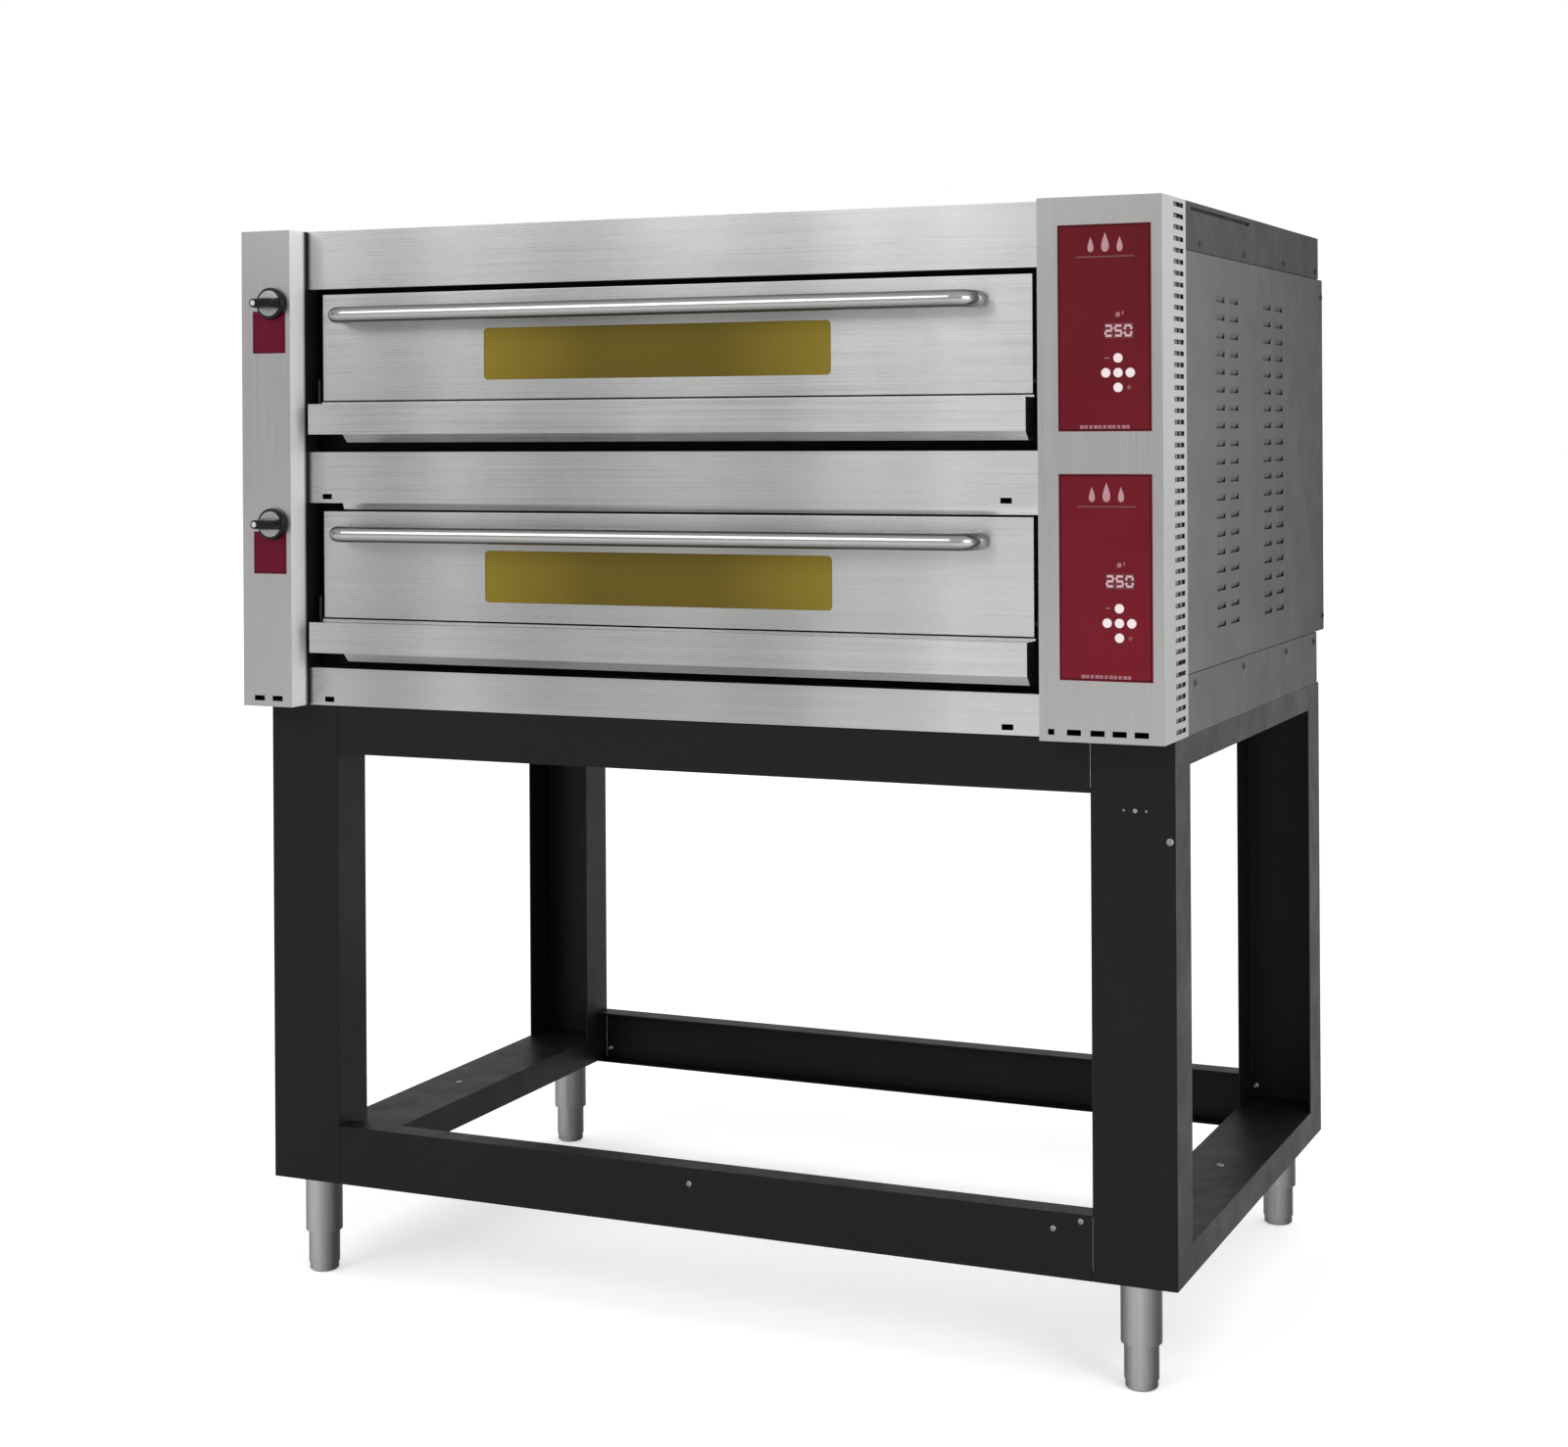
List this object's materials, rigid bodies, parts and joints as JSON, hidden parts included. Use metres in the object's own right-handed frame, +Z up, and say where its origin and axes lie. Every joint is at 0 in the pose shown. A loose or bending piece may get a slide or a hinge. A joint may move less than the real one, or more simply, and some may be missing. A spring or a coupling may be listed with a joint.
{
  "type": "deck pizza oven",
  "caption": "Electric stone-hearth pizza oven with stacked decks, drop-down glazed doors, side control panels and a steel stand on adjustable feet.",
  "frame": {"origin": "on the floor, under the centre of the whole object's box", "axes": "+Z up, -Y out of the front where the doors are, +X to the right of a person who faces the doors"},
  "size_m": [1.4932, 1.064, 1.648],
  "materials": {
    "brushed_front": "brushed",
    "polished_tube": "polished",
    "side_steel": "satin",
    "cover_steel": "satin",
    "chamber_steel": "matt",
    "black_steel": "matt",
    "stand_paint": "satin",
    "foot_steel": "brushed",
    "stone": "matt",
    "rod_sheath": "oxidised",
    "wool": "matt",
    "rope_seal": "woven",
    "hinge_steel": "machined",
    "amber_glass": "gloss",
    "lamp_glass": "gloss",
    "knob_plastic": "gloss",
    "label_red": "satin",
    "panel_red": "satin",
    "display": "gloss",
    "key_white": "satin",
    "board": "satin",
    "switchgear": "matt",
    "fan_plastic": "matt",
    "cable_black": "matt",
    "screw_zinc": "zinc plated"
  },
  "bodies": {
    "oven_and_stand": {"base_pan": "cover_steel", "chamber_lamps": "lamp_glass", "chamber_liners": "chamber_steel", "chassis_frame": "black_steel", "contactor_rail": "switchgear", "control_boards": "board", "control_panels": "panel_red", "display_windows": "display", "door_gaskets": "rope_seal", "door_hinges": "hinge_steel", "door_sills": "brushed_front", "fan_housing": "fan_plastic", "fasteners": "screw_zinc", "flue_ducts": "chamber_steel", "foot_sleeves": "foot_steel", "hearth_stones": "stone", "heating_elements": "rod_sheath", "insulation_blankets": "wool", "knob_label_plates": "label_red", "left_column_cover": "brushed_front", "left_side_panel": "side_steel", "lower_fascia": "brushed_front", "middle_fascia": "brushed_front", "power_cable": "cable_black", "rear_panel": "cover_steel", "right_column_cover": "brushed_front", "right_side_panel": "side_steel", "stand_cross_rails": "stand_paint", "stand_left_side_frame": "stand_paint", "stand_right_side_frame": "stand_paint", "temperature_probes": "rod_sheath", "top_cover": "cover_steel", "top_fascia": "brushed_front"},
    "upper_door": {"upper_door_skin": "brushed_front", "upper_door_liner": "chamber_steel", "upper_door_glass": "amber_glass", "upper_door_handle": "polished_tube"},
    "upper_damper": {"upper_damper_knob": "knob_plastic", "upper_damper_shaft": "hinge_steel"},
    "upper_key_up_button": {"upper_key_up": "key_white"},
    "upper_key_left_button": {"upper_key_left": "key_white"},
    "upper_key_centre_button": {"upper_key_centre": "key_white"},
    "upper_key_right_button": {"upper_key_right": "key_white"},
    "upper_key_down_button": {"upper_key_down": "key_white"},
    "lower_door": {"lower_door_skin": "brushed_front", "lower_door_liner": "chamber_steel", "lower_door_glass": "amber_glass", "lower_door_handle": "polished_tube"},
    "lower_damper": {"lower_damper_knob": "knob_plastic", "lower_damper_shaft": "hinge_steel"},
    "lower_key_up_button": {"lower_key_up": "key_white"},
    "lower_key_left_button": {"lower_key_left": "key_white"},
    "lower_key_centre_button": {"lower_key_centre": "key_white"},
    "lower_key_right_button": {"lower_key_right": "key_white"},
    "lower_key_down_button": {"lower_key_down": "key_white"},
    "front_left_adjuster": {"front_left_foot": "foot_steel"},
    "front_right_adjuster": {"front_right_foot": "foot_steel"},
    "rear_left_adjuster": {"rear_left_foot": "foot_steel"},
    "rear_right_adjuster": {"rear_right_foot": "foot_steel"},
    "cooling_fan": {"fan_rotor": "fan_plastic"}
  },
  "joints": [
    {"name": "upper_door_hinge", "type": "hinge", "parent": "oven_and_stand", "child": "upper_door", "pos_m": [-0.04, -0.4385, 1.399], "axis": [1, 0, 0], "range_deg": [0, 90]},
    {"name": "upper_damper_turn", "type": "hinge", "parent": "oven_and_stand", "child": "upper_damper", "pos_m": [-0.686, -0.51, 1.534], "axis": [0, 1, 0], "range_deg": [0, 90]},
    {"name": "upper_key_up_press", "type": "slide", "parent": "oven_and_stand", "child": "upper_key_up_button", "axis": [0, 1, 0], "range_m": [0, 0.0008], "stiffness_N_per_m": 400, "springref_m": -0.0005},
    {"name": "upper_key_left_press", "type": "slide", "parent": "oven_and_stand", "child": "upper_key_left_button", "axis": [0, 1, 0], "range_m": [0, 0.0008], "stiffness_N_per_m": 400, "springref_m": -0.0005},
    {"name": "upper_key_centre_press", "type": "slide", "parent": "oven_and_stand", "child": "upper_key_centre_button", "axis": [0, 1, 0], "range_m": [0, 0.0008], "stiffness_N_per_m": 400, "springref_m": -0.0005},
    {"name": "upper_key_right_press", "type": "slide", "parent": "oven_and_stand", "child": "upper_key_right_button", "axis": [0, 1, 0], "range_m": [0, 0.0008], "stiffness_N_per_m": 400, "springref_m": -0.0005},
    {"name": "upper_key_down_press", "type": "slide", "parent": "oven_and_stand", "child": "upper_key_down_button", "axis": [0, 1, 0], "range_m": [0, 0.0008], "stiffness_N_per_m": 400, "springref_m": -0.0005},
    {"name": "lower_door_hinge", "type": "hinge", "parent": "oven_and_stand", "child": "lower_door", "pos_m": [-0.04, -0.4385, 1.059], "axis": [1, 0, 0], "range_deg": [0, 90]},
    {"name": "lower_damper_turn", "type": "hinge", "parent": "oven_and_stand", "child": "lower_damper", "pos_m": [-0.686, -0.51, 1.189], "axis": [0, 1, 0], "range_deg": [0, 90]},
    {"name": "lower_key_up_press", "type": "slide", "parent": "oven_and_stand", "child": "lower_key_up_button", "axis": [0, 1, 0], "range_m": [0, 0.0008], "stiffness_N_per_m": 400, "springref_m": -0.0005},
    {"name": "lower_key_left_press", "type": "slide", "parent": "oven_and_stand", "child": "lower_key_left_button", "axis": [0, 1, 0], "range_m": [0, 0.0008], "stiffness_N_per_m": 400, "springref_m": -0.0005},
    {"name": "lower_key_centre_press", "type": "slide", "parent": "oven_and_stand", "child": "lower_key_centre_button", "axis": [0, 1, 0], "range_m": [0, 0.0008], "stiffness_N_per_m": 400, "springref_m": -0.0005},
    {"name": "lower_key_right_press", "type": "slide", "parent": "oven_and_stand", "child": "lower_key_right_button", "axis": [0, 1, 0], "range_m": [0, 0.0008], "stiffness_N_per_m": 400, "springref_m": -0.0005},
    {"name": "lower_key_down_press", "type": "slide", "parent": "oven_and_stand", "child": "lower_key_down_button", "axis": [0, 1, 0], "range_m": [0, 0.0008], "stiffness_N_per_m": 400, "springref_m": -0.0005},
    {"name": "front_left_foot_screw", "type": "slide", "parent": "oven_and_stand", "child": "front_left_adjuster", "axis": [0, 0, -1], "range_m": [0, 0.04]},
    {"name": "front_right_foot_screw", "type": "slide", "parent": "oven_and_stand", "child": "front_right_adjuster", "axis": [0, 0, -1], "range_m": [0, 0.04]},
    {"name": "rear_left_foot_screw", "type": "slide", "parent": "oven_and_stand", "child": "rear_left_adjuster", "axis": [0, 0, -1], "range_m": [0, 0.04]},
    {"name": "rear_right_foot_screw", "type": "slide", "parent": "oven_and_stand", "child": "rear_right_adjuster", "axis": [0, 0, -1], "range_m": [0, 0.04]},
    {"name": "fan_spin", "type": "hinge", "parent": "oven_and_stand", "child": "cooling_fan", "pos_m": [0.655, 0.4878, 1.265], "axis": [0, 1, 0], "continuous": true}
  ]
}
